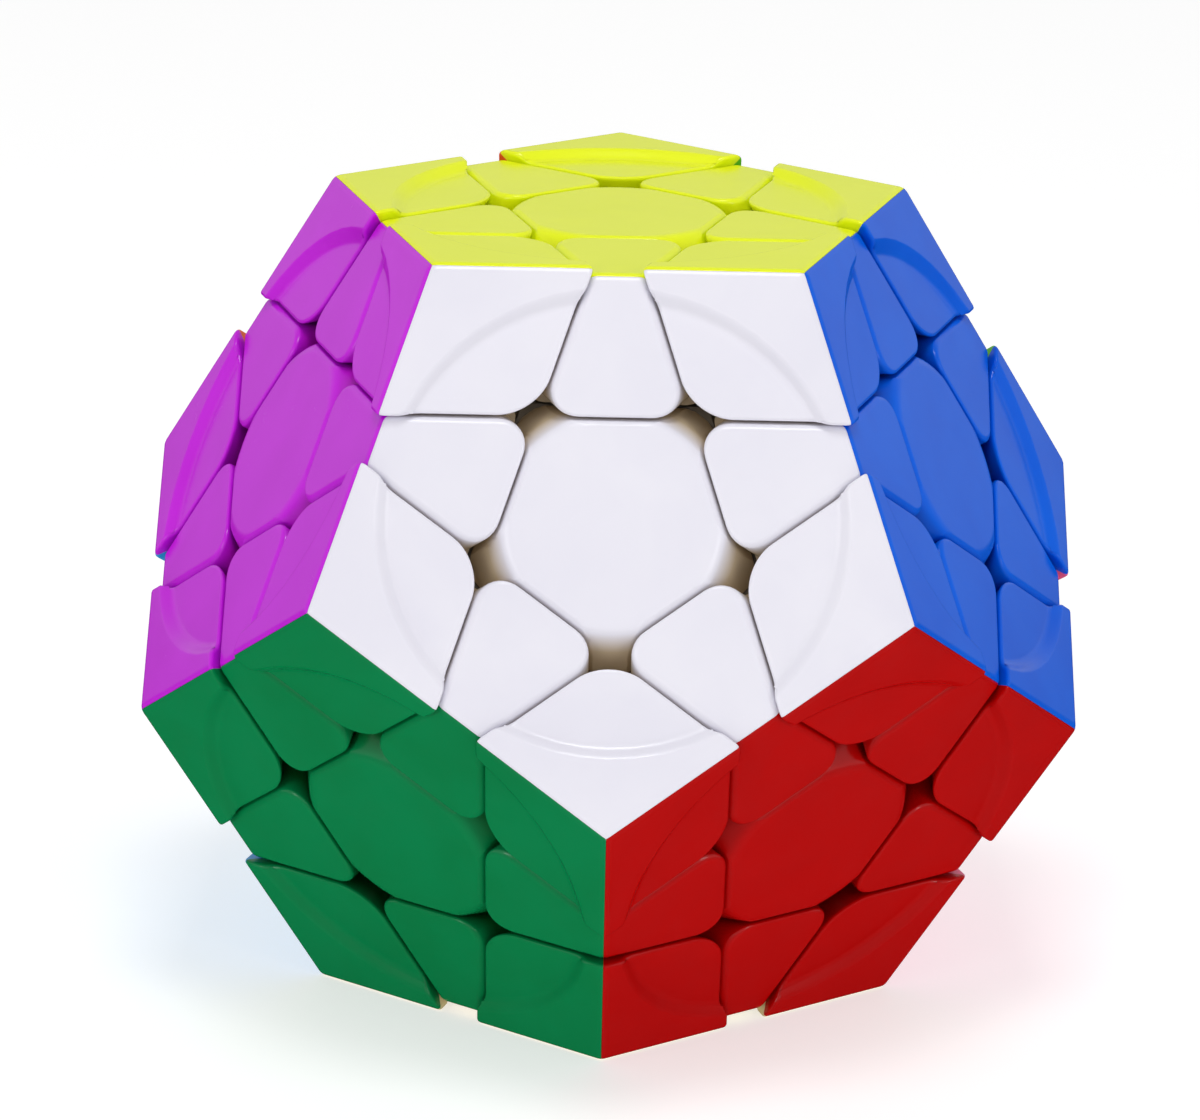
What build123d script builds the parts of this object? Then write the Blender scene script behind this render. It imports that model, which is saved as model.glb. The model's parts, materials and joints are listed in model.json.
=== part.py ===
from build123d import *
from itertools import combinations
from math import acos, atan, cos, degrees, hypot, pi, radians, sin, sqrt, tan
import os

# A twelve-sided twisty puzzle of the megaminx kind. The origin is the middle of the bottom face, +Z is up
# through the top face, and every face axis goes through one point, the puzzle's centre.

# Outside
face_height = 39.0          # centre to the low level of each face: caps, edge tiles, recess floors
ridge_height = 0.9          # how far the outer part of each corner tile stands above that level
recess_foot_radius = 21.4   # the round recess in each face, at its floor
recess_top_radius = 22.6    # the same recess where its sloping wall meets the raised corners

# Layer cuts: each is a surface of revolution about its own face axis. From outside to inside it is a flat,
# then a steep cone down to the neck, a short ledge out to the feet's shoulder, and a cone under the feet.
# Each point is a distance from the axis and a height above the puzzle's centre.
cut_height = 26.3
knee = (25.2, cut_height)
neck = (19.7, 19.4)
shoulder = (21.2, 17.8)
toe = (13.2, 12.9)
toe_end = (8.3, 9.9)        # the same cone, inside the core ball
core_radius = 18.5          # middle of the clearance between the core ball and the feet
gap = 0.3                   # clearance between any two moving pieces

# Tiles and feet
tile_thickness = 1.8        # coloured shell, under its face
side_wall = 1.5             # coloured shell, along the layer cuts
foot_wall = 1.3             # plug that the coloured shells fit round
shell_floor_radius = 33.0   # coloured shells end here, distance from the centre
plug_radius = 37.0          # the foot's plug ends here, inside the shells
corner_rounding = 6.0       # upright inner edge of a corner piece
edge_rounding = 1.95        # upright inner edges of an edge piece

# Centre caps and hubs
cap_rim_radius = 10.2       # flat top of the cap, before it falls towards its five tips
cap_rim_rounding = 0.8
cap_slope_radius = 15.4     # foot of the five sloping tips
cap_slope_drop = 5.0
cap_split_height = 33.8     # underside of the cap
cap_cavity_radius = 9.0
cap_top_thickness = 2.0
hub_ring_height = 1.8
hub_ring_wall = 1.6
hub_floor_height = 27.8
hub_tube_radius = 4.6
spring_pocket_radius = 3.3
spring_seat_height = 24.5
hub_lift = 0.05             # running clearance between hub and core post

# Core, screws, springs
core_wall = 4.8
post_radius = 3.3
post_top = core_radius + 1.5
post_depth = 10.5
screw_radius = 1.25
screw_tip_height = 11.5
screw_head_radius = 2.9
screw_head_height = 1.6
screw_seat_height = 33.0    # underside of the screw head
screw_clearance = 0.1
cross_length = 3.4
cross_width = 0.7
cross_depth = 1.0
washer_thickness = 0.4
spring_radius = 2.35
spring_wire_radius = 0.35
spring_turns = 6
spring_clearance = 0.03

# Angles of the regular dodecahedron
golden = (1 + sqrt(5)) / 2
face_angle = degrees(atan(2))                       # between neighbouring face axes
edge_tilt = face_angle / 2                          # edge direction to its two face axes
end_tilt = 90 - edge_tilt                           # edge direction to the faces at its ends
corner_tilt = degrees(acos((golden + 1) / sqrt(3 * (golden * golden + 1))))   # corner direction to its faces
neighbour_lean = 0.4        # the axes of two faces with a common edge have a dot product above this
raised_height = face_height + ridge_height
half_gap = gap / 2
beyond = 90.0               # further out than anything in the puzzle
piece_span = 64.0           # a block that holds any one piece
third_of_turn = 120         # a corner piece has three faces, and repeats three times round its tip
bar_margin = 1.0            # how far the tools that round upright edges reach outside the piece
seam_turn = 30.0            # keeps the cut surfaces' seams off the corner's planes of symmetry
knee_distance = hypot(*knee)

# Faces: elevation and azimuth of each face axis, seen from the centre
ring_elevation = 90 - face_angle
faces = {
    "yellow": (90, 0),
    "white": (ring_elevation, -90),
    "blue": (ring_elevation, -18),
    "light_green": (ring_elevation, 54),
    "orange": (ring_elevation, 126),
    "purple": (ring_elevation, 198),
    "red": (-ring_elevation, -54),
    "pink": (-ring_elevation, 18),
    "grey": (-ring_elevation, 90),
    "light_blue": (-ring_elevation, 162),
    "green": (-ring_elevation, 234),
    "cream": (-90, 0),
}
# Three layers share no piece, so they can all turn in one assembly. All other pieces stay with the core.
turning_layers = {"left": "purple", "right": "blue", "bottom": "cream"}
puzzle_centre = Location((0, 0, raised_height))


def direction(elevation, azimuth):
    up = radians(elevation)
    turn = radians(azimuth)
    return Vector(cos(up) * cos(turn), cos(up) * sin(turn), sin(up))


def tilted(tilt, azimuth):
    return direction(90 - tilt, azimuth)


def facing(axis, towards=Vector(0, 0, -1)):
    # A frame at the centre with +Z along axis, and +X leaning to the direction towards
    side = towards - axis * axis.dot(towards)
    return Plane(origin=(0, 0, 0), x_dir=side, z_dir=axis).location


def turned_profile(points):
    outline = Plane.XZ * Polyline(*points, close=True)
    return revolve(make_face(outline), Axis.Z)


def moved_left(start, end, distance):
    # The straight line through two profile points, moved to its left: a point on it, and its run
    run = (end[0] - start[0], end[1] - start[1])
    share = distance / hypot(*run)
    return (start[0] - run[1] * share, start[1] + run[0] * share), run


def meeting(line_a, line_b):
    # Where two straight lines of a profile cross
    (start_a, run_a), (start_b, run_b) = line_a, line_b
    across = run_a[0] * run_b[1] - run_a[1] * run_b[0]
    apart = (start_b[0] - start_a[0], start_b[1] - start_a[1])
    reach = (apart[0] * run_b[1] - apart[1] * run_b[0]) / across
    return (start_a[0] + reach * run_a[0], start_a[1] + reach * run_a[1])


def layer(inset):
    # Everything that turns with the face on +Z, drawn in by inset from the middle of the cut
    course = [(0, toe_end[1]), toe_end, shoulder, neck, knee, (beyond, cut_height)]
    moved = [moved_left(start, end, inset) for start, end in zip(course[1:], course[2:])]
    corners = [meeting(first, second) for first, second in zip(moved, moved[1:])]
    toe_in = moved[0][0]
    return turned_profile([
        (0, toe_in[1]),
        toe_in,
        *corners,
        (beyond, cut_height + inset),
        (beyond, beyond),
        (0, beyond),
    ])


def below(axis, height):
    # The half space under a face plane
    block = Pos(0, 0, height - beyond / 2) * Box(2 * beyond, 2 * beyond, beyond)
    return facing(axis) * block


def face_recess():
    slope = (recess_top_radius - recess_foot_radius) / ridge_height
    return turned_profile([
        (0, face_height),
        (recess_foot_radius, face_height),
        (recess_foot_radius + 2 * ridge_height * slope, raised_height + ridge_height),
        (0, raised_height + ridge_height),
    ])


def upright_rounding(axis_a, axis_b, side_a, side_b, radius):
    # What a rounding takes off the straight edge where the flat cuts of two layers meet. The piece lies
    # beyond a cut where its side is 1, and inside it where its side is -1.
    edge = axis_a.cross(axis_b).normalized()
    height_a = cut_height + side_a * half_gap
    height_b = cut_height + side_b * half_gap
    lean = axis_a.dot(axis_b)
    share_a = (height_a - lean * height_b) / (1 - lean * lean)
    share_b = (height_b - lean * height_a) / (1 - lean * lean)
    start = axis_a * share_a + axis_b * share_b
    inward = (axis_a * side_a + axis_b * side_b).normalized()
    half = pi / 2 - acos(axis_a.dot(axis_b) * side_a * side_b) / 2
    tangent = radius / tan(half)
    high = (tangent * cos(half), tangent * sin(half))
    low = (high[0], -high[1])
    high_out = (high[0] - bar_margin * sin(half), high[1] + bar_margin * cos(half))
    low_out = (high_out[0], -high_out[1])
    arc = ThreePointArc(high, (radius / sin(half) - radius, 0), low)
    rest = Polyline(low, low_out, (-bar_margin / sin(half), 0), high_out, high)
    outline = make_face(arc + rest)
    frame = Plane(origin=start, x_dir=inward, z_dir=edge)
    bar = extrude(frame * outline, amount=beyond / 2, both=True)
    return bar - Sphere(knee_distance + gap)


def corner_axes():
    return [tilted(corner_tilt, azimuth) for azimuth in (0, third_of_turn, 2 * third_of_turn)]


def edge_axes():
    return [tilted(edge_tilt, 0), tilted(edge_tilt, 180)]


def end_axes():
    return [tilted(end_tilt, 90), tilted(end_tilt, 270)]


def piece_block():
    return Pos(0, 0, core_radius / 2 + piece_span / 2) * Box(piece_span, piece_span, piece_span)


def corner_space(inset, height):
    # In the corner's own frame, where +Z is its tip and +X leans to its first face
    space = piece_block()
    for axis in corner_axes():
        space &= below(axis, height)
    for axis in corner_axes():
        space &= facing(axis) * Rot(0, 0, seam_turn) * layer(inset)
    return space


def edge_space(inset, height):
    # In the edge's own frame, where +Z is its ridge and +X leans to its first face
    space = piece_block()
    for axis in edge_axes():
        space &= below(axis, height)
    for axis in edge_axes():
        space &= facing(axis) * layer(inset)
    for axis in end_axes():
        space -= facing(axis) * layer(-inset)
    return space


def split_piece(whole, inner, lower_space, upper_space):
    # A foot with a plug, and the coloured shell that fits over the plug
    plug = (inner & Sphere(plug_radius)) - Sphere(shell_floor_radius - foot_wall)
    foot = (whole & Sphere(shell_floor_radius)) + plug
    foot -= (lower_space & Sphere(shell_floor_radius - foot_wall)) - Sphere(core_radius + gap + foot_wall)
    foot -= upper_space - Sphere(shell_floor_radius - 2 * foot_wall)
    shell = whole - inner - Sphere(shell_floor_radius)
    return foot, shell


def corner_piece():
    axes = corner_axes()
    low = face_height - tile_thickness
    whole = corner_space(half_gap, raised_height) - Sphere(core_radius + half_gap)
    inner = corner_space(half_gap + side_wall, low)
    for axis in axes:
        whole -= facing(axis) * face_recess()
    for axis_a, axis_b in combinations(axes, 2):
        whole -= upright_rounding(axis_a, axis_b, 1, 1, corner_rounding)
    lower_space = corner_space(half_gap + foot_wall, low)
    upper_space = corner_space(half_gap + side_wall + foot_wall, low)
    foot, shell = split_piece(whole, inner, lower_space, upper_space)
    wedge_side = tan(radians(third_of_turn / 2)) * beyond
    wedge_outline = Polyline((0, 0), (beyond, -wedge_side), (beyond, wedge_side), close=True)
    wedge = extrude(make_face(wedge_outline), beyond)
    return foot, shell & wedge


def edge_piece():
    low = face_height - tile_thickness
    whole = edge_space(half_gap, face_height) - Sphere(core_radius + half_gap)
    inner = edge_space(half_gap + side_wall, low)
    for face_axis in edge_axes():
        for end_axis in end_axes():
            whole -= upright_rounding(face_axis, end_axis, 1, -1, edge_rounding)
    lower_space = edge_space(half_gap + foot_wall, low)
    upper_space = edge_space(half_gap + side_wall + foot_wall, low)
    foot, shell = split_piece(whole, inner, lower_space, upper_space)
    half = Pos(beyond / 2, 0, 0) * Box(beyond, 2 * beyond, 2 * beyond)
    return foot, shell & half


def centre_dome():
    # The cap's round top with its rim rounded over, and the slope that its five tips follow
    outline = Plane.XZ * Polyline(
        (0, face_height),
        (cap_rim_radius, face_height),
        (cap_slope_radius, face_height - cap_slope_drop),
        (cap_slope_radius, post_top + hub_lift),
        (0, post_top + hub_lift),
        close=True,
    )
    profile = make_face(outline)
    rim = profile.vertices().sort_by_distance((cap_rim_radius, 0, face_height))[0]
    return revolve(fillet(rim, cap_rim_rounding), Axis.Z)


def tube(outer, inner, low, high):
    ring = Circle(outer)
    if inner:
        ring -= Circle(inner)
    return extrude(Pos(0, 0, low) * ring, high - low)


def centre_piece():
    whole = centre_dome()
    for index in range(5):
        whole -= facing(tilted(face_angle, 72 * index)) * layer(-half_gap)
    whole = max(whole.solids(), key=lambda solid: solid.volume)
    upper = tube(beyond, 0, cap_split_height, beyond)
    cap = whole & upper
    cap -= tube(cap_cavity_radius, 0, cap_split_height, face_height - cap_top_thickness)
    hub = whole - upper
    ring_top = cap_split_height + hub_ring_height
    hub += tube(cap_cavity_radius, cap_cavity_radius - hub_ring_wall, cap_split_height, ring_top)
    hub -= tube(cap_cavity_radius - hub_ring_wall, hub_tube_radius, hub_floor_height, ring_top)
    hub -= tube(spring_pocket_radius, 0, spring_seat_height, ring_top)
    hub -= tube(screw_radius + screw_clearance, 0, 0, spring_seat_height)
    return cap, hub


def screw():
    head_top = screw_seat_height + screw_head_height
    body = tube(screw_radius, 0, screw_tip_height, screw_seat_height)
    head = tube(screw_head_radius, 0, screw_seat_height, head_top)
    head = chamfer(head.edges().group_by(Axis.Z)[-1], screw_head_height / 4)
    cross = Box(cross_length, cross_width, 2 * cross_depth) + Box(cross_width, cross_length, 2 * cross_depth)
    return body + head - Pos(0, 0, head_top) * cross


def washer():
    return tube(screw_head_radius, screw_radius + screw_clearance, screw_seat_height - washer_thickness,
                screw_seat_height)


def spring():
    # A wound spring with both ends ground flat
    low = spring_seat_height + spring_clearance
    high = screw_seat_height - washer_thickness
    pitch = (high - low) / spring_turns
    path = Pos(0, 0, low) * Helix(pitch, high - low, spring_radius)
    wire = sweep(Plane(origin=path @ 0, z_dir=path % 0) * Circle(spring_wire_radius), path)
    return wire & tube(spring_radius + 2 * spring_wire_radius, 0, low, high)


def screw_frame(elevation, azimuth):
    return Plane(origin=(0, 0, 0), z_dir=direction(elevation, azimuth)).location


def core_ball():
    ball = Sphere(core_radius - half_gap) - Sphere(core_radius - half_gap - core_wall)
    for elevation, azimuth in faces.values():
        ball += screw_frame(elevation, azimuth) * tube(post_radius, 0, post_depth, post_top)
    for elevation, azimuth in faces.values():
        ball -= screw_frame(elevation, azimuth) * tube(screw_radius, 0, 0, post_top)
    return ball


def body_of(names):
    for layer_name, face_name in turning_layers.items():
        if face_name in names:
            return layer_name
    return "main"


def add(nodes, node, shape):
    nodes.setdefault(node, []).extend(puzzle_centre * solid for solid in shape.solids())


def touching(names, axes):
    return all(axes[a].dot(axes[b]) > neighbour_lean for a, b in combinations(names, 2))


def build_nodes():
    nodes = {}
    axes = {name: direction(*angles) for name, angles in faces.items()}
    corner_foot, corner_tile = corner_piece()
    edge_foot, edge_tile = edge_piece()
    cap, hub = centre_piece()
    for name, axis in axes.items():
        neighbour = next(axes[other] for other in axes if other != name and touching((name, other), axes))
        frame = facing(axis, neighbour)
        add(nodes, "centre_cap_" + name, frame * cap)
        add(nodes, body_of([name]) + "_centre_hubs", frame * hub)
        add(nodes, "centre_screws", frame * screw())
        add(nodes, "screw_washers", frame * washer())
        add(nodes, "centre_springs", frame * spring())
    shared_pieces = ((2, edge_foot, edge_tile, "edge"), (3, corner_foot, corner_tile, "corner"))
    for size, foot, tile, kind in shared_pieces:
        for names in combinations(faces, size):
            if not touching(names, axes):
                continue
            body = body_of(names)
            tip = sum((axes[name] for name in names), Vector(0, 0, 0)).normalized()
            add(nodes, body + "_" + kind + "_feet", facing(tip, axes[names[0]]) * foot)
            for name in names:
                add(nodes, body + "_tiles_" + name, facing(tip, axes[name]) * tile)
    ball = core_ball()
    block = Pos(0, 0, beyond / 2) * Box(beyond, beyond, beyond)
    add(nodes, "core_upper_half", ball & block)
    add(nodes, "core_lower_half", ball - block)
    return nodes


os.makedirs("parts", exist_ok=True)
for node, solids in build_nodes().items():
    shape = solids[0] if len(solids) == 1 else Compound(children=solids)
    export_step(shape, "parts/" + node + ".step")
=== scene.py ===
import bpy
import json
import math
from itertools import combinations
from mathutils import Matrix, Vector


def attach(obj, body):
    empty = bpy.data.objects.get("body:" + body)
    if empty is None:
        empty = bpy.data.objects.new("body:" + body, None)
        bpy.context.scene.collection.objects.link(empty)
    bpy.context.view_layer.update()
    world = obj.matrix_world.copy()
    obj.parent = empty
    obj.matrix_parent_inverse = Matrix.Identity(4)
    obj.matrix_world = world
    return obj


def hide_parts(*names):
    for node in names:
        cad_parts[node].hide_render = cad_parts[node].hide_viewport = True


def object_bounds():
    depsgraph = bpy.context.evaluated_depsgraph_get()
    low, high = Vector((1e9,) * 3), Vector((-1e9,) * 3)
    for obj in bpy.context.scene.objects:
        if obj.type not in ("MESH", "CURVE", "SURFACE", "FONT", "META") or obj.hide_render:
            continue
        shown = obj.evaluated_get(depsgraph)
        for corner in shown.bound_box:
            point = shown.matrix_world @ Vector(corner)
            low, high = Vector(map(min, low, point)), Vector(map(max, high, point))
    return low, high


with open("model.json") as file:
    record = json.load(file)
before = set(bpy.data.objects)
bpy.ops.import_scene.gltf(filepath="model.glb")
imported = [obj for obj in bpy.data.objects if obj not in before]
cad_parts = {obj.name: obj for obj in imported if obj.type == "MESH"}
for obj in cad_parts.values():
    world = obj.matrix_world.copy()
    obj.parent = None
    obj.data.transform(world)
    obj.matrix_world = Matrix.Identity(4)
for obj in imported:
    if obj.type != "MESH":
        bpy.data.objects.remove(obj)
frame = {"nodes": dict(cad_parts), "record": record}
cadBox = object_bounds()

mm = 0.001
low, high = (Vector(c) for c in cadBox)
raisedHeight = (high.z - low.z) / 2          # centre of the puzzle to the raised plane of any face
puzzleCentre = Vector((0, 0, low.z + raisedHeight))
faceAngle = math.atan(2)                     # between neighbouring face axes
cornerTilt = math.acos(math.sqrt((5 + 2 * math.sqrt(5)) / 15))
edgeTilt = faceAngle / 2

puzzle = {
    "ridge": 0.9 * mm,               # corner tiles stand this far above the low level
    "cutHeight": 26.3 * mm,          # centre to each layer cut
    "kneeRadius": 25.2 * mm,         # nearer the face's axis than this, the cut turns down in a cone
    "neckRadius": 19.7 * mm,
    "neckHeight": 19.4 * mm,
    "gap": 0.3 * mm,
    "rimRadius": 0.52 * mm,          # rounding along every gap
    "rimSteps": 4,
    "ridgeRadius": 1.2 * mm,         # rounding along the edges of the dodecahedron
    "ridgeSteps": 6,
    "seamRadius": 0.07 * mm,         # hairline between two colours of one piece
    "seamSteps": 2,
    "ledgeDepth": 4.6 * mm,          # below it, the rounded inner corners of the tiles are nearly sharp
    "ledgeRadius": 1.0 * mm,
    "ledgeSteps": 4,
    "ledgeMargin": 1.0 * mm,         # edges lower than this above the ledge are not rounded
    "ledgeInset": 0.01 * mm,         # keeps its walls from coinciding with the tile's
    "blockFoot": 15 * mm,            # each tile is cut from a block that stands this far above the centre
    "samePlane": 0.002 * mm,         # points closer than this to a plane lie on it
    "shortEdge": 0.06 * mm,
    "alongAxis": 0.99,               # a flat faces an axis where their dot product is above this
    "topLean": 0.55,                 # a surface belongs to a tile's top where that dot product is above this
    "smoothAngle": math.radians(34),
}
lowHeight = raisedHeight - puzzle["ridge"]
beyondCut = puzzle["cutHeight"] + puzzle["gap"] / 2
insideCut = puzzle["cutHeight"] - puzzle["gap"] / 2
ledgeHeight = lowHeight - puzzle["ledgeDepth"]
neighbourLean = 0.4                          # axes of faces with a common edge have a dot product above this

ringElevation = 90 - math.degrees(faceAngle)
faces = {
    # elevation and azimuth of each face's axis, in degrees, seen from the centre
    "yellow": (90, 0),
    "white": (ringElevation, -90),
    "blue": (ringElevation, -18),
    "light_green": (ringElevation, 54),
    "orange": (ringElevation, 126),
    "purple": (ringElevation, 198),
    "red": (-ringElevation, -54),
    "pink": (-ringElevation, 18),
    "grey": (-ringElevation, 90),
    "light_blue": (-ringElevation, 162),
    "green": (-ringElevation, 234),
    "cream": (-90, 0),
}
turningLayers = {"left": "purple", "right": "blue", "bottom": "cream"}


def direction(elevation, azimuth):
    up, turn = math.radians(elevation), math.radians(azimuth)
    return Vector((math.cos(up) * math.cos(turn), math.cos(up) * math.sin(turn), math.sin(up)))


def leaning(tilt, azimuth):
    return direction(90 - math.degrees(tilt), azimuth)


# small helpers for working on one mesh at a time
def startMesh(name):
    obj = bpy.context.active_object
    obj.name = name
    bpy.ops.object.transform_apply(location=True, rotation=True, scale=True)
    return obj


def workOn(obj):
    bpy.ops.object.select_all(action="DESELECT")
    bpy.context.view_layer.objects.active = obj
    obj.select_set(True)


def keepBelow(normal, distance):
    # slices the mesh with a plane and closes it, keeping the side nearer the centre
    bpy.ops.object.mode_set(mode="EDIT")
    bpy.ops.mesh.select_all(action="SELECT")
    bpy.ops.mesh.bisect(plane_co=normal * distance, plane_no=normal, use_fill=True, clear_outer=True)
    bpy.ops.object.mode_set(mode="OBJECT")


def keepBeyond(normal, distance):
    keepBelow(-normal, -distance)


def keepOutOfLayer(axis, towards, inset=0.0):
    # slices off what reaches into the turning layer about axis: its flat cut, and its cone towards one side
    keepBelow(axis, insideCut - inset)
    slope = (puzzle["cutHeight"] - puzzle["neckHeight"]) / (puzzle["kneeRadius"] - puzzle["neckRadius"])
    outwards = (towards - axis * towards.dot(axis)).normalized()
    length = math.hypot(1, slope)
    reach = (puzzle["cutHeight"] - slope * puzzle["kneeRadius"]) / length - puzzle["gap"] / 2 - inset
    keepBelow((axis - outwards * slope) / length, reach)


def roundEdges(obj, choose, offset, steps, clamp=True):
    # bevels each edge that choose(first, second, normals) accepts and returns how many there were;
    # offset is how far each face is cut back
    bpy.ops.object.mode_set(mode="EDIT")
    bpy.ops.mesh.select_mode(type="EDGE")
    bpy.ops.mesh.select_all(action="DESELECT")
    bpy.ops.object.mode_set(mode="OBJECT")
    mesh = obj.data
    normals = {}
    for face in mesh.polygons:
        for key in face.edge_keys:
            normals.setdefault(key, []).append(face.normal.copy())
    picked = 0
    for edge in mesh.edges:
        first, second = (mesh.vertices[i].co for i in edge.vertices)
        if len(normals[edge.key]) == 2 and choose(first, second, normals[edge.key]):
            edge.select = True
            picked += 1
    bpy.ops.object.mode_set(mode="EDIT")
    bpy.ops.mesh.bevel(offset=offset, offset_type="OFFSET", segments=steps, profile=0.5, clamp_overlap=clamp,
                       loop_slide=False)
    bpy.ops.mesh.select_all(action="SELECT")
    bpy.ops.mesh.remove_doubles(threshold=puzzle["samePlane"])
    bpy.ops.object.mode_set(mode="OBJECT")
    return picked


def combine(obj, other, operation):
    # adds, subtracts or keeps the overlap with another mesh, which is then removed
    workOn(obj)
    bpy.ops.object.modifier_add(type="BOOLEAN")
    obj.modifiers[-1].object = other
    obj.modifiers[-1].operation = operation
    obj.modifiers[-1].solver = "EXACT"
    bpy.ops.object.modifier_apply(modifier=obj.modifiers[-1].name)
    bpy.data.objects.remove(other)


def mergeShortEdges(obj):
    # very short edges left by the booleans would fold over when the rims are rounded
    workOn(obj)
    bpy.ops.object.mode_set(mode="EDIT")
    bpy.ops.mesh.select_all(action="SELECT")
    bpy.ops.mesh.remove_doubles(threshold=puzzle["shortEdge"])
    bpy.ops.object.mode_set(mode="OBJECT")


def onPlane(point, normal, distance):
    return abs(point.dot(normal) - distance) < puzzle["samePlane"]


def finishSurface(obj):
    # flat faces stay flat, and roundings run smoothly into them
    workOn(obj)
    bpy.ops.object.shade_smooth_by_angle(angle=puzzle["smoothAngle"])
    bpy.ops.object.modifier_add(type="WEIGHTED_NORMAL")
    obj.modifiers[-1].keep_sharp = True
    obj.modifiers[-1].weight = 80
    bpy.ops.object.modifier_apply(modifier=obj.modifiers[-1].name)


def topLike(normal, axis):
    return normal.dot(axis) > puzzle["topLean"]


def facesAlong(normals, axis):
    return any(n.dot(axis) > puzzle["alongAxis"] for n in normals)


def topEdges(axis, seams, wantSeams):
    # edges between the tile's top and its walls: either those on the seams between colours, or all others
    def choose(first, second, normals):
        tops = [topLike(n, axis) for n in normals]
        onSeam = any(onPlane(first, s, 0) and onPlane(second, s, 0) for s in seams)
        onLedge = min(first.dot(axis), second.dot(axis)) < ledgeHeight + puzzle["ledgeMargin"]
        return tops[0] != tops[1] and onSeam == wantSeams and not onLedge
    return choose


def roundTop(tile, axis, seams):
    # rounds the rims along the gaps, then breaks the sharp edges along the seams
    roundEdges(tile, topEdges(axis, seams, False), puzzle["rimRadius"], puzzle["rimSteps"], clamp=False)
    seamEdges = topEdges(axis, seams, True)
    return roundEdges(tile, seamEdges, puzzle["seamRadius"], puzzle["seamSteps"], clamp=False)


# the corner tile is made once, with its tip on +Z and its face leaning to +X
cornerTile = {
    "uprightRadius": 6.0 * mm,       # inner upright edge, beside the centre cap
    "uprightSteps": 14,
    "blockSize": 60 * mm,
    "underside": 30.5 * mm,          # height along the piece's own axis
    "recessRadius": 21.9 * mm,       # the round recess in each face, near the middle of its sloping wall
    "recessSegments": 54,
    # the recess's rounded wall, in mm: steps out from the recess radius and up from its floor
    "recessWall": [(-0.8, 0.0), (-0.35, 0.08), (0.0, 0.28), (0.35, 0.62), (0.75, 0.85), (1.8, 1.1)],
    "recessTop": 3 * mm,             # the tool that cuts the recess goes on this far above its wall
}


def extrudeRing(rise, grow):
    # extrudes the selected round face along Z, then scales it about the Z axis
    bpy.ops.mesh.extrude_region_move(TRANSFORM_OT_translate={"value": (0, 0, rise)})
    bpy.ops.transform.resize(value=(grow, grow, 1), center_override=(0, 0, 0))


def recessCutter(axis):
    spec = cornerTile
    bpy.ops.object.select_all(action="DESELECT")
    bpy.ops.mesh.primitive_circle_add(vertices=spec["recessSegments"], fill_type="NGON",
                                      radius=spec["recessRadius"] + spec["recessWall"][0][0] * mm,
                                      location=(0, 0, lowHeight))
    cutter = startMesh("recessCutter")
    bpy.ops.object.mode_set(mode="EDIT")
    bpy.ops.mesh.select_all(action="SELECT")
    for before, after in zip(spec["recessWall"], spec["recessWall"][1:]):
        grow = (spec["recessRadius"] + after[0] * mm) / (spec["recessRadius"] + before[0] * mm)
        extrudeRing((after[1] - before[1]) * mm, grow)
    extrudeRing(spec["recessTop"], 1)
    bpy.ops.mesh.select_all(action="SELECT")
    bpy.ops.mesh.normals_make_consistent(inside=False)
    bpy.ops.object.mode_set(mode="OBJECT")
    halfStep = math.pi / spec["recessSegments"]
    cutter.data.transform(turnedTo(axis, Vector((0, 0, 1))) @ Matrix.Rotation(halfStep, 4, "Z"))
    return cutter


def turnedTo(axis, towards):
    # rotation that takes +Z to axis, with +X leaning to towards
    z = axis.normalized()
    x = (towards - z * towards.dot(z)).normalized()
    y = z.cross(x)
    return Matrix((x, y, z)).transposed().to_4x4()


def cornerBlock(axes, uprightRadius, uprightSteps, inset=0.0):
    spec = cornerTile
    bpy.ops.object.select_all(action="DESELECT")
    middle = spec["blockSize"] / 2 + puzzle["blockFoot"]
    bpy.ops.mesh.primitive_cube_add(size=spec["blockSize"], location=(0, 0, middle))
    block = startMesh("cornerTile")
    for axis in axes:
        keepBelow(axis, raisedHeight)
        keepBeyond(axis, beyondCut + inset)
    keepBeyond(Vector((0, 0, 1)), spec["underside"] + inset)

    def ridge(first, second, normals):
        return sum(facesAlong(normals, a) for a in axes) == 2

    def upright(first, second, normals):
        return facesAlong(normals, -axes[1]) and facesAlong(normals, -axes[2])

    lengthBack = math.tan(faceAngle / 2)     # cut back per radius, for the angle between two faces
    roundEdges(block, ridge, puzzle["ridgeRadius"] * lengthBack, puzzle["ridgeSteps"])
    roundEdges(block, upright, uprightRadius * lengthBack, uprightSteps)
    return block


def makeCornerTile():
    spec = cornerTile
    axes = [leaning(cornerTilt, turn) for turn in (0, 120, 240)]
    seams = [leaning(math.pi / 2, 150), leaning(math.pi / 2, -150)]
    ledge = cornerBlock(axes, puzzle["ledgeRadius"], puzzle["ledgeSteps"], puzzle["ledgeInset"])
    keepBelow(axes[0], ledgeHeight)
    tile = cornerBlock(axes, spec["uprightRadius"], spec["uprightSteps"])
    combine(tile, recessCutter(axes[0]), "DIFFERENCE")
    for obj, inset in ((ledge, puzzle["ledgeInset"]), (tile, 0)):
        workOn(obj)
        for seam in seams:
            keepBelow(seam, -inset)
    combine(tile, ledge, "UNION")
    mergeShortEdges(tile)
    seamCount = roundTop(tile, axes[0], seams)
    print("corner tile:", seamCount, "seam edges,", len(tile.data.polygons), "faces")
    finishSurface(tile)
    return tile


# the edge tile is made once, with the ridge of the piece on +Z and its face leaning to +X
edgeTile = {
    "uprightRadius": 2.7 * mm,       # two inner upright edges, beside the centre cap
    "uprightSteps": 10,
    "blockSize": 50 * mm,
    "underside": 31.5 * mm,          # height along the piece's own axis
}


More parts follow.
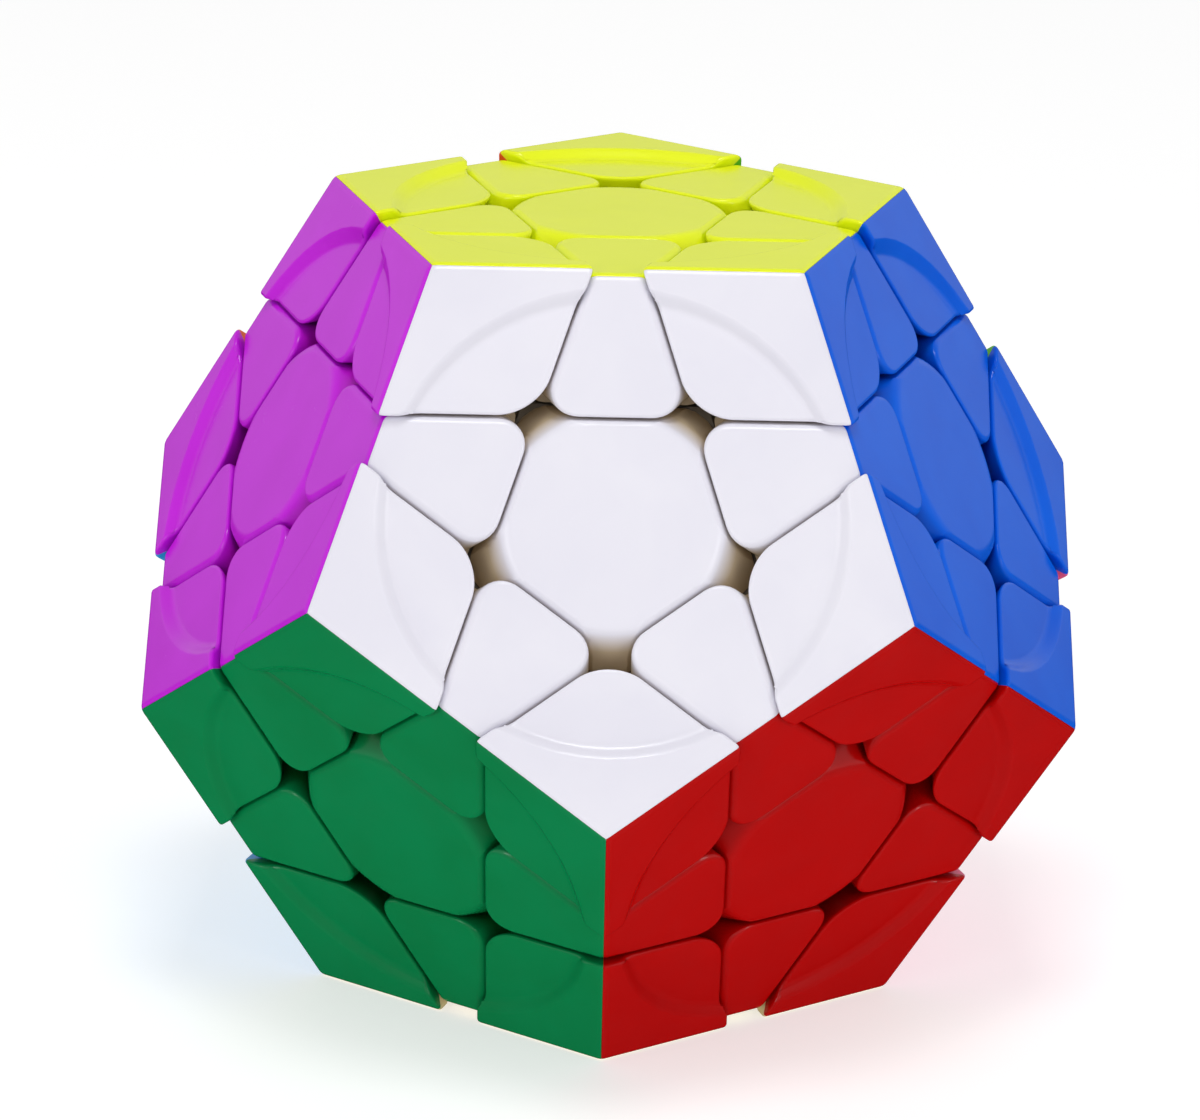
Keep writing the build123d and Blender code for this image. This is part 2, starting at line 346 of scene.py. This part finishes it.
def edgeBlock(axes, ends, uprightRadius, uprightSteps, inset=0.0):
    spec = edgeTile
    bpy.ops.object.select_all(action="DESELECT")
    middle = spec["blockSize"] / 2 + puzzle["blockFoot"]
    bpy.ops.mesh.primitive_cube_add(size=spec["blockSize"], location=(0, 0, middle))
    block = startMesh("edgeTile")
    for axis in axes:
        keepBelow(axis, lowHeight)
        keepBeyond(axis, beyondCut + inset)
    for end in ends:
        keepOutOfLayer(end, Vector((0, 0, 1)), inset)
    keepBeyond(Vector((0, 0, 1)), spec["underside"] + inset)

    def ridge(first, second, normals):
        return all(facesAlong(normals, a) for a in axes)

    def upright(first, second, normals):
        return facesAlong(normals, -axes[1]) and any(facesAlong(normals, end) for end in ends)

    roundEdges(block, ridge, puzzle["ridgeRadius"] * math.tan(faceAngle / 2), puzzle["ridgeSteps"])
    lengthBack = math.tan(math.pi / 2 - faceAngle / 2)     # as above, for the supplement of that angle
    roundEdges(block, upright, uprightRadius * lengthBack, uprightSteps)
    return block


def makeEdgeTile():
    spec = edgeTile
    axes = [leaning(edgeTilt, 0), leaning(edgeTilt, 180)]
    ends = [leaning(math.pi / 2 - edgeTilt, 90), leaning(math.pi / 2 - edgeTilt, 270)]
    seam = Vector((-1, 0, 0))
    ledge = edgeBlock(axes, ends, puzzle["ledgeRadius"], puzzle["ledgeSteps"], puzzle["ledgeInset"])
    keepBelow(axes[0], ledgeHeight)
    tile = edgeBlock(axes, ends, spec["uprightRadius"], spec["uprightSteps"])
    for obj, inset in ((ledge, puzzle["ledgeInset"]), (tile, 0)):
        workOn(obj)
        keepBelow(seam, -inset)
    combine(tile, ledge, "UNION")
    seamCount = roundTop(tile, axes[0], [seam])
    print("edge tile:", seamCount, "seam edges,", len(tile.data.polygons), "faces")
    finishSurface(tile)
    return tile


# the centre cap is made once, with its face on +Z
centreCap = {
    "segments": 160,
    # outline from the flat top outwards and down, in mm: radius and drop below the low level
    "outline": [(9.5, 0.0), (9.85, 0.02), (10.2, 0.09), (10.5, 0.22), (10.76, 0.42), (11.0, 0.70),
                (11.6, 1.48), (12.6, 2.85), (13.6, 4.3), (14.5, 5.8), (15.4, 7.6), (16.0, 9.0)],
    "flatRimRadius": 0.45 * mm,
    "flatRimSteps": 4,
    "blockSize": 50 * mm,            # block that the five flats are cut from
    "underside": 1 * mm,             # the cap ends this far above the foot of the outline
    "lift": 0.012 * mm,              # keeps the two top planes apart while the two shapes are combined
}


def makeCentreCap():
    spec = centreCap
    sides = [leaning(faceAngle, 72 * i) for i in range(5)]
    bottom = lowHeight - spec["outline"][-1][1] * mm
    bpy.ops.object.select_all(action="DESELECT")
    bpy.ops.mesh.primitive_circle_add(vertices=spec["segments"], fill_type="NGON",
                                      radius=spec["outline"][0][0] * mm, location=(0, 0, lowHeight))
    cap = startMesh("centreCap")
    bpy.ops.object.mode_set(mode="EDIT")
    bpy.ops.mesh.select_all(action="SELECT")
    for before, after in zip(spec["outline"], spec["outline"][1:]):
        extrudeRing((before[1] - after[1]) * mm, after[0] / before[0])
    bpy.ops.mesh.select_all(action="SELECT")
    bpy.ops.mesh.normals_make_consistent(inside=False)
    bpy.ops.object.mode_set(mode="OBJECT")
    bpy.ops.object.select_all(action="DESELECT")
    middle = bottom + spec["underside"] + spec["blockSize"] / 2
    bpy.ops.mesh.primitive_cube_add(size=spec["blockSize"], location=(0, 0, middle))
    frustum = startMesh("capFlats")
    keepBelow(Vector((0, 0, 1)), lowHeight + spec["lift"])
    for side in sides:
        keepOutOfLayer(side, Vector((0, 0, 1)))

    def rim(first, second, normals):
        return min(first.z, second.z) > lowHeight

    roundEdges(frustum, rim, spec["flatRimRadius"], spec["flatRimSteps"])
    combine(cap, frustum, "INTERSECT")
    print("centre cap:", len(cap.data.polygons), "faces")
    finishSurface(cap)
    return cap


# materials
plastics = {
    # colour of the plastic, its tone where it varies, its painted shade down in the gaps, roughness
    "white": ((0.82, 0.805, 0.88), (0.79, 0.775, 0.86), (0.62, 0.50, 0.34), 0.24),
    "yellow": ((0.89, 0.98, 0.014), (0.87, 0.965, 0.008), (0.84, 0.90, 0.002), 0.22),
    "purple": ((0.60, 0.012, 0.75), (0.57, 0.009, 0.71), (0.42, 0.001, 0.42), 0.24),
    "blue": ((0.001, 0.122, 0.76), (0.001, 0.106, 0.71), (0.001, 0.045, 0.42), 0.22),
    "green": ((0.001, 0.235, 0.072), (0.001, 0.215, 0.062), (0.001, 0.11, 0.02), 0.22),
    "red": ((0.50, 0.001, 0.001), (0.47, 0.001, 0.001), (0.42, 0.001, 0.001), 0.20),
    "light_green": ((0.14, 0.58, 0.010), (0.12, 0.54, 0.008), (0.08, 0.42, 0.004), 0.22),
    "orange": ((0.88, 0.15, 0.003), (0.84, 0.135, 0.002), (0.74, 0.10, 0.001), 0.22),
    "light_blue": ((0.05, 0.42, 0.76), (0.04, 0.39, 0.72), (0.02, 0.30, 0.58), 0.22),
    "pink": ((0.86, 0.16, 0.34), (0.82, 0.14, 0.31), (0.74, 0.08, 0.18), 0.22),
    "grey": ((0.16, 0.165, 0.17), (0.145, 0.15, 0.155), (0.09, 0.09, 0.09), 0.24),
    "cream": ((0.78, 0.67, 0.40), (0.75, 0.64, 0.37), (0.60, 0.45, 0.20), 0.24),
}


# how the surface of a moulded part varies, and how deep into the gaps its painted shade reaches: scales of
# the noise, depths and shares
moulding = {
    "driftScale": 90,                # slow change of tone
    "driftRange": (0.35, 0.65),
    "paintedShadeDepth": (0.35 * mm, 2.2 * mm),     # over these depths the colour turns into the painted gap shade, which stands in for the shade down in the gaps
    "smudgeScale": 170,
    "smudgeRange": (0.45, 0.7),
    "scratchScale": 1400,
    "scratchRange": (0.62, 0.75),
    "skinScale": 2600,
    "skinShare": 0.25,
    "waveScale": 320,
    "scratchShare": 0.06,
    "smudgeRoughness": 0.03,
    "scratchRoughness": 0.015,
    "reliefStrength": 0.015,
    "reliefDepth": 0.2 * mm,
    "specular": 0.4,
    "metalSpecular": 0.5,
    "blueSpecular": 0.25,            # the blue plastic reflects the room less than the others
}


def makeMouldingAndShadeGroup():
    # colour drift, handling marks and the fine surface of a moulded part, and a painted shade that darkens
    # the colour down in the gaps between pieces
    spec = moulding
    group = bpy.data.node_groups.new("mouldedSurfaceAndPaintedShade", "ShaderNodeTree")
    group.interface.new_socket("Colour", in_out="INPUT", socket_type="NodeSocketColor")
    group.interface.new_socket("Deeper Colour", in_out="INPUT", socket_type="NodeSocketColor")
    group.interface.new_socket("Painted Gap Shade", in_out="INPUT", socket_type="NodeSocketColor")
    group.interface.new_socket("Face Axis", in_out="INPUT", socket_type="NodeSocketVector")
    for label in ("Face Level", "Roughness", "Smudge", "Scratch"):
        group.interface.new_socket(label, in_out="INPUT", socket_type="NodeSocketFloat")
    group.interface.new_socket("Colour", in_out="OUTPUT", socket_type="NodeSocketColor")
    group.interface.new_socket("Roughness", in_out="OUTPUT", socket_type="NodeSocketFloat")
    group.interface.new_socket("Height", in_out="OUTPUT", socket_type="NodeSocketFloat")
    nodes, links = group.nodes, group.links
    start = nodes.new("NodeGroupInput")
    end = nodes.new("NodeGroupOutput")
    place = nodes.new("ShaderNodeTexCoord")

    def noise(scale, detail, distortion=0.0):
        node = nodes.new("ShaderNodeTexNoise")
        node.inputs["Scale"].default_value = scale
        node.inputs["Detail"].default_value = detail
        node.inputs["Distortion"].default_value = distortion
        links.new(place.outputs["Object"], node.inputs["Vector"])
        return node.outputs["Fac"]

    def share(value, limits):
        # 0 at the lower limit, 1 at the upper one
        node = nodes.new("ShaderNodeMapRange")
        node.inputs["From Min"].default_value, node.inputs["From Max"].default_value = limits
        links.new(value, node.inputs["Value"])
        return node.outputs["Result"]

    def maths(operation, first, second):
        node = nodes.new("ShaderNodeMath")
        node.operation = operation
        for socket, value in zip(node.inputs, (first, second)):
            if isinstance(value, (int, float)):
                socket.default_value = value
            else:
                links.new(value, socket)
        return node.outputs["Value"]

    drift = share(noise(spec["driftScale"], 3, 0.4), spec["driftRange"])
    blend = nodes.new("ShaderNodeMix")
    blend.data_type = "RGBA"
    links.new(drift, blend.inputs["Factor"])
    links.new(start.outputs["Colour"], blend.inputs["A"])
    links.new(start.outputs["Deeper Colour"], blend.inputs["B"])

    # depth below the face's low level, along the face's axis
    along = nodes.new("ShaderNodeVectorMath")
    along.operation = "DOT_PRODUCT"
    links.new(place.outputs["Object"], along.inputs[0])
    links.new(start.outputs["Face Axis"], along.inputs[1])
    depth = maths("SUBTRACT", start.outputs["Face Level"], along.outputs["Value"])
    # painted shade: below the face's low level the colour turns into the darker gap colour, standing in for
    # the shade down in the gaps between pieces
    paintedGapShade = nodes.new("ShaderNodeMix")
    paintedGapShade.data_type = "RGBA"
    links.new(share(depth, spec["paintedShadeDepth"]), paintedGapShade.inputs["Factor"])
    links.new(blend.outputs["Result"], paintedGapShade.inputs["A"])
    links.new(start.outputs["Painted Gap Shade"], paintedGapShade.inputs["B"])
    links.new(paintedGapShade.outputs["Result"], end.inputs["Colour"])

    smudges = share(noise(spec["smudgeScale"], 5, 1.2), spec["smudgeRange"])
    scratches = share(noise(spec["scratchScale"], 2, 6.0), spec["scratchRange"])
    rough = maths("ADD", start.outputs["Roughness"], maths("MULTIPLY", smudges, start.outputs["Smudge"]))
    rough = maths("ADD", rough, maths("MULTIPLY", scratches, start.outputs["Scratch"]))
    links.new(rough, end.inputs["Roughness"])
    skin = maths("MULTIPLY", noise(spec["skinScale"], 2), spec["skinShare"])
    height = maths("ADD", skin, noise(spec["waveScale"], 1))
    height = maths("SUBTRACT", height, maths("MULTIPLY", scratches, spec["scratchShare"]))
    links.new(height, end.inputs["Height"])
    return group


mouldingAndShadeGroup = makeMouldingAndShadeGroup()


def surfaceMaterial(name, colours, roughness, specular, axis=(0, 0, 0), level=0.0, metallic=0.0):
    material = bpy.data.materials.new(name)
    material.use_nodes = True
    nodes, links = material.node_tree.nodes, material.node_tree.links
    shader = nodes["Principled BSDF"]
    shader.inputs["Metallic"].default_value = metallic
    shader.inputs["Specular IOR Level"].default_value = specular
    surface = nodes.new("ShaderNodeGroup")
    surface.node_tree = mouldingAndShadeGroup
    # the third colour is the painted shade down in the gaps; the face axis and level set where it begins
    for label, colour in zip(("Colour", "Deeper Colour", "Painted Gap Shade"), colours):
        surface.inputs[label].default_value = (*colour, 1)
    surface.inputs["Face Axis"].default_value = axis
    surface.inputs["Face Level"].default_value = level
    surface.inputs["Roughness"].default_value = roughness
    surface.inputs["Smudge"].default_value = moulding["smudgeRoughness"]
    surface.inputs["Scratch"].default_value = moulding["scratchRoughness"]
    relief = nodes.new("ShaderNodeBump")
    relief.inputs["Strength"].default_value = moulding["reliefStrength"]
    relief.inputs["Distance"].default_value = moulding["reliefDepth"]
    links.new(surface.outputs["Colour"], shader.inputs["Base Color"])
    links.new(surface.outputs["Roughness"], shader.inputs["Roughness"])
    links.new(surface.outputs["Height"], relief.inputs["Height"])
    links.new(relief.outputs["Normal"], shader.inputs["Normal"])
    return material


def layerOf(names):
    for layer, face in turningLayers.items():
        if face in names:
            return layer
    return "main"


bodyNodes = frame["record"]["behaviour"]["bodies"]
bodyOfNode = {node: body for body, nodes in bodyNodes.items() for node in nodes}
tileMaterials = {}
for name, (*colours, roughness) in plastics.items():
    # each face's axis and low level place the painted gap shade below that face
    axis = direction(*faces[name])
    level = lowHeight + puzzleCentre.dot(axis)
    specular = moulding["blueSpecular"] if name == "blue" else moulding["specular"]
    tileMaterials[name] = surfaceMaterial(name + "Plastic", colours, roughness, specular, axis, level)
centreShift = Matrix.Translation(puzzleCentre)


def placeTile(master, name, node, colour, axis, towards):
    mesh = master.data.copy()
    mesh.transform(centreShift @ turnedTo(axis, towards))
    mesh.materials.clear()
    mesh.materials.append(tileMaterials[colour])
    tile = bpy.data.objects.new(name, mesh)
    bpy.context.scene.collection.objects.link(tile)
    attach(tile, bodyOfNode[node])
    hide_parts(node)
    return tile


def placeTiles():
    axes = {name: direction(*angles) for name, angles in faces.items()}
    masters = {3: ("corner", makeCornerTile()), 2: ("edge", makeEdgeTile())}
    cap = makeCentreCap()
    for name, axis in axes.items():
        neighbour = next(a for other, a in axes.items() if other != name and a.dot(axis) > neighbourLean)
        placeTile(cap, name + "_centre_cap", "centre_cap_" + name, name, axis, neighbour)
    for size, (kind, master) in masters.items():
        for names in combinations(faces, size):
            if any(axes[a].dot(axes[b]) < neighbourLean for a, b in combinations(names, 2)):
                continue
            tip = sum((axes[name] for name in names), Vector())
            for name in names:
                others = "_".join(other for other in names if other != name)
                node = layerOf(names) + "_tiles_" + name
                placeTile(master, f"{name}_{kind}_tile_by_{others}", node, name, tip, axes[name])
    for kind, master in list(masters.values()) + [("cap", cap)]:
        bpy.data.objects.remove(master)


placeTiles()
print("tiles placed")

# inner pieces keep their CAD shape
innerSurfaces = {
    # name of the material, its colour, its tone where it varies, roughness, metallic
    "foot_plastic": ("footPlastic", (0.20, 0.17, 0.13), (0.17, 0.145, 0.11), 0.42, 0.0),
    "core_plastic": ("corePlastic", (0.55, 0.53, 0.47), (0.50, 0.48, 0.42), 0.45, 0.0),
    "screw_steel": ("screwSteel", (0.62, 0.62, 0.63), (0.55, 0.55, 0.57), 0.28, 1.0),
    "washer_steel": ("washerSteel", (0.66, 0.66, 0.67), (0.60, 0.60, 0.61), 0.32, 1.0),
    "spring_steel": ("springSteel", (0.52, 0.53, 0.56), (0.46, 0.47, 0.50), 0.30, 1.0),
}
innerMaterials = {}
for slot, (name, colour, deeper, roughness, metallic) in innerSurfaces.items():
    specular = moulding["metalSpecular"] if metallic else moulding["specular"]
    innerMaterials[slot] = surfaceMaterial(name, (colour, deeper), roughness, specular, metallic=metallic)
slotOfNode = {part["node"]: part["material_slot"] for part in frame["record"]["subparts"]}
for node, obj in frame["nodes"].items():
    material = innerMaterials.get(slotOfNode[node]) or tileMaterials[slotOfNode[node].rsplit("_", 1)[0]]
    for place in obj.material_slots:
        place.material = material
print("inner pieces dressed")

# floor, lights and camera
studio = {
    "floorSize": 8.0,
    "floorColour": (0.62, 0.62, 0.62, 1),
    "floorGlow": 0.90,
    "floorRoughness": 0.7,
    "floorSpecular": 0.1,
    "skyColour": (1.0, 1.0, 1.0, 1),
    "skyLevels": [(-0.08, 0.0), (0.02, 0.52), (0.35, 0.56), (1.0, 0.36)],    # height in the sky, brightness
    # name: place, size, power and colour of each soft light, aimed at the puzzle
    "lights": {
        "topLight": ((0.0, -0.25, 1.0), 0.3, 3.2, (1.0, 1.0, 1.0)),
        "leftLight": ((-0.85, -0.95, 0.55), 0.5, 2.4, (1.0, 1.0, 1.0)),
        "rightLight": ((0.85, -0.95, 0.55), 0.5, 2.4, (1.0, 1.0, 1.0)),
    },
}


def makeSky():
    world = bpy.data.worlds.new("studioSky")
    bpy.context.scene.world = world
    world.use_nodes = True
    nodes, links = world.node_tree.nodes, world.node_tree.links
    background = nodes["Background"]
    background.inputs["Color"].default_value = studio["skyColour"]
    where = nodes.new("ShaderNodeTexCoord")
    split = nodes.new("ShaderNodeSeparateXYZ")
    shares = nodes.new("ShaderNodeMapRange")
    shares.inputs["From Min"].default_value = -1
    ramp = nodes.new("ShaderNodeValToRGB")
    stops = ramp.color_ramp.elements
    for _ in studio["skyLevels"][2:]:
        stops.new(0.5)
    for stop, (height, level) in zip(stops, studio["skyLevels"]):
        stop.position = (height + 1) / 2
        stop.color = (level, level, level, 1)
    links.new(where.outputs["Generated"], split.inputs["Vector"])
    links.new(split.outputs["Z"], shares.inputs["Value"])
    links.new(shares.outputs["Result"], ramp.inputs["Fac"])
    links.new(ramp.outputs["Color"], background.inputs["Strength"])


def makeStudio():
    bpy.ops.object.select_all(action="DESELECT")
    bpy.ops.mesh.primitive_plane_add(size=studio["floorSize"], location=(0, 0, low.z))
    floor = startMesh("floor")
    material = bpy.data.materials.new("paleFloor")
    material.use_nodes = True
    shader = material.node_tree.nodes["Principled BSDF"]
    shader.inputs["Base Color"].default_value = studio["floorColour"]
    shader.inputs["Roughness"].default_value = studio["floorRoughness"]
    shader.inputs["Specular IOR Level"].default_value = studio["floorSpecular"]
    shader.inputs["Emission Color"].default_value = studio["floorColour"]
    shader.inputs["Emission Strength"].default_value = studio["floorGlow"]
    floor.data.materials.append(material)
    floor.visible_glossy = False
    makeSky()
    for name, (place, size, power, colour) in studio["lights"].items():
        light = bpy.data.lights.new(name, "AREA")
        light.size = size
        light.energy = power
        light.color = colour
        lamp = bpy.data.objects.new(name, light)
        aim = puzzleCentre - Vector(place)
        lamp.matrix_world = Matrix.Translation(place) @ aim.to_track_quat("-Z", "Y").to_matrix().to_4x4()
        bpy.context.scene.collection.objects.link(lamp)


view = {
    "lens": 171.9,
    "sensor": 36,
    "nearest": 0.01,
    "farthest": 20,
    "place": (-0.42 * mm, -554.6 * mm, 182.2 * mm),    # from the puzzle's centre
    "down": math.radians(17.96),
    "turn": math.radians(0.08),
    "roll": math.radians(1.2),
}


def makeCamera():
    camera = bpy.data.objects.new("camera", bpy.data.cameras.new("camera"))
    camera.data.lens = view["lens"]
    camera.data.sensor_width = view["sensor"]
    camera.data.clip_start = view["nearest"]
    camera.data.clip_end = view["farthest"]
    aim = Matrix.Rotation(view["turn"], 4, "Z") @ Matrix.Rotation(math.pi / 2 - view["down"], 4, "X")
    aim = aim @ Matrix.Rotation(view["roll"], 4, "Z")
    camera.matrix_world = Matrix.Translation(puzzleCentre + Vector(view["place"])) @ aim
    bpy.context.scene.collection.objects.link(camera)
    bpy.context.scene.camera = camera


makeStudio()
makeCamera()
bpy.context.scene.view_settings.view_transform = "Standard"
print("studio ready")
